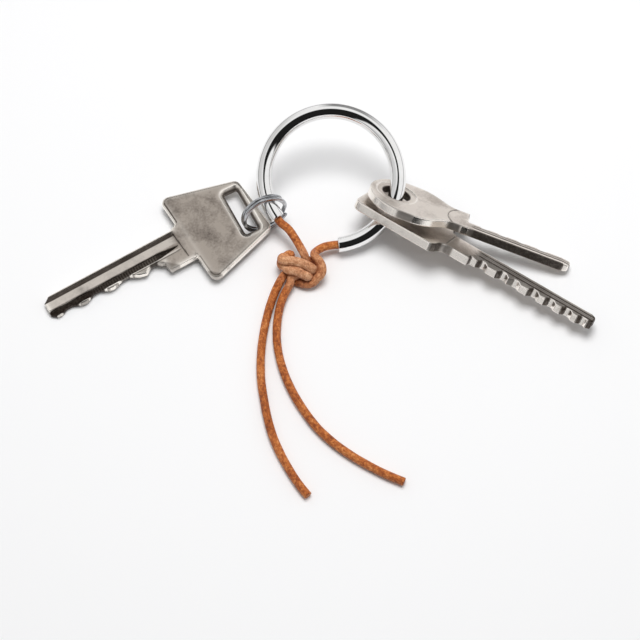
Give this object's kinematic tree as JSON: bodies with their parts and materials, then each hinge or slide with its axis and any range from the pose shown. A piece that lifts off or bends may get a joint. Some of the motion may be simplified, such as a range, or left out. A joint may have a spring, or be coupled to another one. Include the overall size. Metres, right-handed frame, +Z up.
{
  "type": "key ring with keys",
  "caption": "Bent-tube key ring closed by a knotted leather cord, carrying threaded keys and a small split ring with a square-headed key.",
  "frame": {"origin": "on the table surface, under the middle of the metal parts' outline", "axes": "+X across the object, towards the two threaded keys; +Y away from the viewer; +Z up from the table"},
  "size_m": [0.1372, 0.1003, 0.0203],
  "materials": {
    "polished_tube": "polished",
    "leather": "smooth, slightly fibrous",
    "ring_wire": "bright, lightly scratched",
    "worn_nickel": "worn satin, clouded",
    "pale_nickel": "worn satin"
  },
  "bodies": {
    "ring": {"tube_ring": "polished_tube", "cord_in_tube": "leather", "cord_lead_left": "leather", "cord_lead_right": "leather", "cord_knot": "leather", "cord_tail_left": "leather", "cord_tail_right": "leather"},
    "split": {"split_ring": "ring_wire"},
    "square": {"square_key": "worn_nickel"},
    "oval": {"oval_key": "pale_nickel"},
    "long": {"long_key": "pale_nickel"}
  },
  "joints": [
    {"name": "split_ring_swing", "type": "hinge", "parent": "ring", "child": "split", "pos_m": [-0.01187, 0.00414, 0.007], "axis": [0.4695, -0.7867, -0.4008], "range_deg": [-40, 40]},
    {"name": "square_key_swing", "type": "hinge", "parent": "split", "child": "square", "pos_m": [-0.01374, 0.00334, 0.00625], "axis": [0.4232, -0.8953, 0.1392], "range_deg": [-60, 20]},
    {"name": "oval_key_swing", "type": "hinge", "parent": "ring", "child": "oval", "pos_m": [0.01948, 0.00707, 0.00849], "axis": [0.3208, 0.5255, 0.788], "range_deg": [-60, 60]},
    {"name": "long_key_swing", "type": "hinge", "parent": "ring", "child": "long", "pos_m": [0.01779, 0.00356, 0.0067], "axis": [0.3514, 0.5055, 0.788], "range_deg": [-60, 60]}
  ]
}
